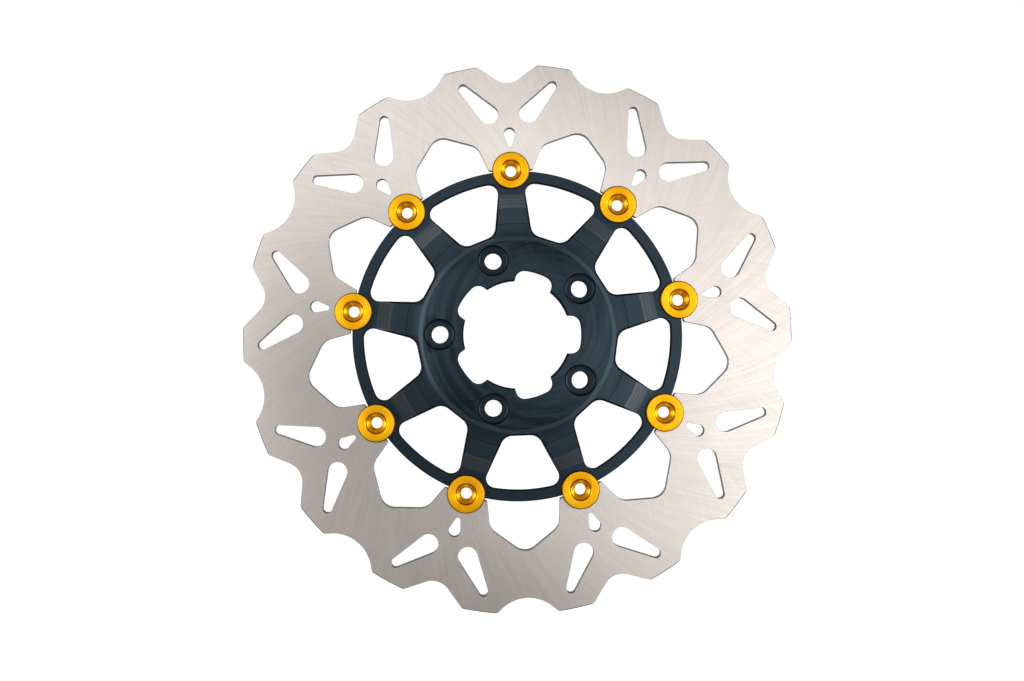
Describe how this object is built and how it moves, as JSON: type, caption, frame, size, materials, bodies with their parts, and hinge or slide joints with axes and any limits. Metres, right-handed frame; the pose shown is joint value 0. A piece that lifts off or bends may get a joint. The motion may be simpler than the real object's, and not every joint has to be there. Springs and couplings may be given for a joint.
{
  "type": "floating brake disc rotor",
  "caption": "Floating motorcycle brake disc: a wave-edged steel friction ring held on a black aluminium carrier by gold drive bobbins, for bolting to a front wheel hub.",
  "frame": {"origin": "centre of the axle bore at the back face of the hub, which is the lowest face", "axes": "+Z along the axle out of the front face, with the button and the bolt hole that line up on -Y"},
  "size_m": [0.2922, 0.29, 0.0107],
  "materials": {
    "ground_steel": "ground stainless steel with fine straight grinding lines",
    "black_anodised": "turned aluminium, black anodised, satin",
    "gold_anodised": "turned aluminium, gold anodised, bright satin",
    "spring_steel": "rolled spring steel",
    "plated_steel": "zinc plated, satin",
    "phosphated_steel": "phosphated and oiled, dull black"
  },
  "bodies": {
    "carrier": {"carrier": "black_anodised", "wave_washer_1": "spring_steel", "wave_washer_2": "spring_steel", "wave_washer_3": "spring_steel", "wave_washer_4": "spring_steel", "wave_washer_5": "spring_steel", "wave_washer_6": "spring_steel", "wave_washer_7": "spring_steel", "wave_washer_8": "spring_steel", "wave_washer_9": "spring_steel"},
    "friction_ring": {"friction_ring": "ground_steel"},
    "bobbin_1": {"bobbin_1": "gold_anodised", "flat_washer_1": "plated_steel", "retaining_clip_1": "phosphated_steel"},
    "bobbin_2": {"bobbin_2": "gold_anodised", "flat_washer_2": "plated_steel", "retaining_clip_2": "phosphated_steel"},
    "bobbin_3": {"bobbin_3": "gold_anodised", "flat_washer_3": "plated_steel", "retaining_clip_3": "phosphated_steel"},
    "bobbin_4": {"bobbin_4": "gold_anodised", "flat_washer_4": "plated_steel", "retaining_clip_4": "phosphated_steel"},
    "bobbin_5": {"bobbin_5": "gold_anodised", "flat_washer_5": "plated_steel", "retaining_clip_5": "phosphated_steel"},
    "bobbin_6": {"bobbin_6": "gold_anodised", "flat_washer_6": "plated_steel", "retaining_clip_6": "phosphated_steel"},
    "bobbin_7": {"bobbin_7": "gold_anodised", "flat_washer_7": "plated_steel", "retaining_clip_7": "phosphated_steel"},
    "bobbin_8": {"bobbin_8": "gold_anodised", "flat_washer_8": "plated_steel", "retaining_clip_8": "phosphated_steel"},
    "bobbin_9": {"bobbin_9": "gold_anodised", "flat_washer_9": "plated_steel", "retaining_clip_9": "phosphated_steel"}
  },
  "joints": [
    {"name": "ring_float", "type": "slide", "parent": "carrier", "child": "friction_ring", "axis": [0, 0, 1], "range_m": [-0.0002, 0.0002], "deforming": ["wave_washer_1", "wave_washer_2", "wave_washer_3", "wave_washer_4", "wave_washer_5", "wave_washer_6", "wave_washer_7", "wave_washer_8", "wave_washer_9"]},
    {"name": "bobbin_1_spin", "type": "hinge", "parent": "carrier", "child": "bobbin_1", "pos_m": [0, -0.08805, 0.005], "axis": [0, 0, 1], "continuous": true},
    {"name": "bobbin_2_spin", "type": "hinge", "parent": "carrier", "child": "bobbin_2", "pos_m": [0.0566, -0.06745, 0.005], "axis": [0, 0, 1], "continuous": true},
    {"name": "bobbin_3_spin", "type": "hinge", "parent": "carrier", "child": "bobbin_3", "pos_m": [0.08671, -0.01529, 0.005], "axis": [0, 0, 1], "continuous": true},
    {"name": "bobbin_4_spin", "type": "hinge", "parent": "carrier", "child": "bobbin_4", "pos_m": [0.07625, 0.04403, 0.005], "axis": [0, 0, 1], "continuous": true},
    {"name": "bobbin_5_spin", "type": "hinge", "parent": "carrier", "child": "bobbin_5", "pos_m": [0.03011, 0.08274, 0.005], "axis": [0, 0, 1], "continuous": true},
    {"name": "bobbin_6_spin", "type": "hinge", "parent": "carrier", "child": "bobbin_6", "pos_m": [-0.03011, 0.08274, 0.005], "axis": [0, 0, 1], "continuous": true},
    {"name": "bobbin_7_spin", "type": "hinge", "parent": "carrier", "child": "bobbin_7", "pos_m": [-0.07625, 0.04403, 0.005], "axis": [0, 0, 1], "continuous": true},
    {"name": "bobbin_8_spin", "type": "hinge", "parent": "carrier", "child": "bobbin_8", "pos_m": [-0.08671, -0.01529, 0.005], "axis": [0, 0, 1], "continuous": true},
    {"name": "bobbin_9_spin", "type": "hinge", "parent": "carrier", "child": "bobbin_9", "pos_m": [-0.0566, -0.06745, 0.005], "axis": [0, 0, 1], "continuous": true}
  ]
}
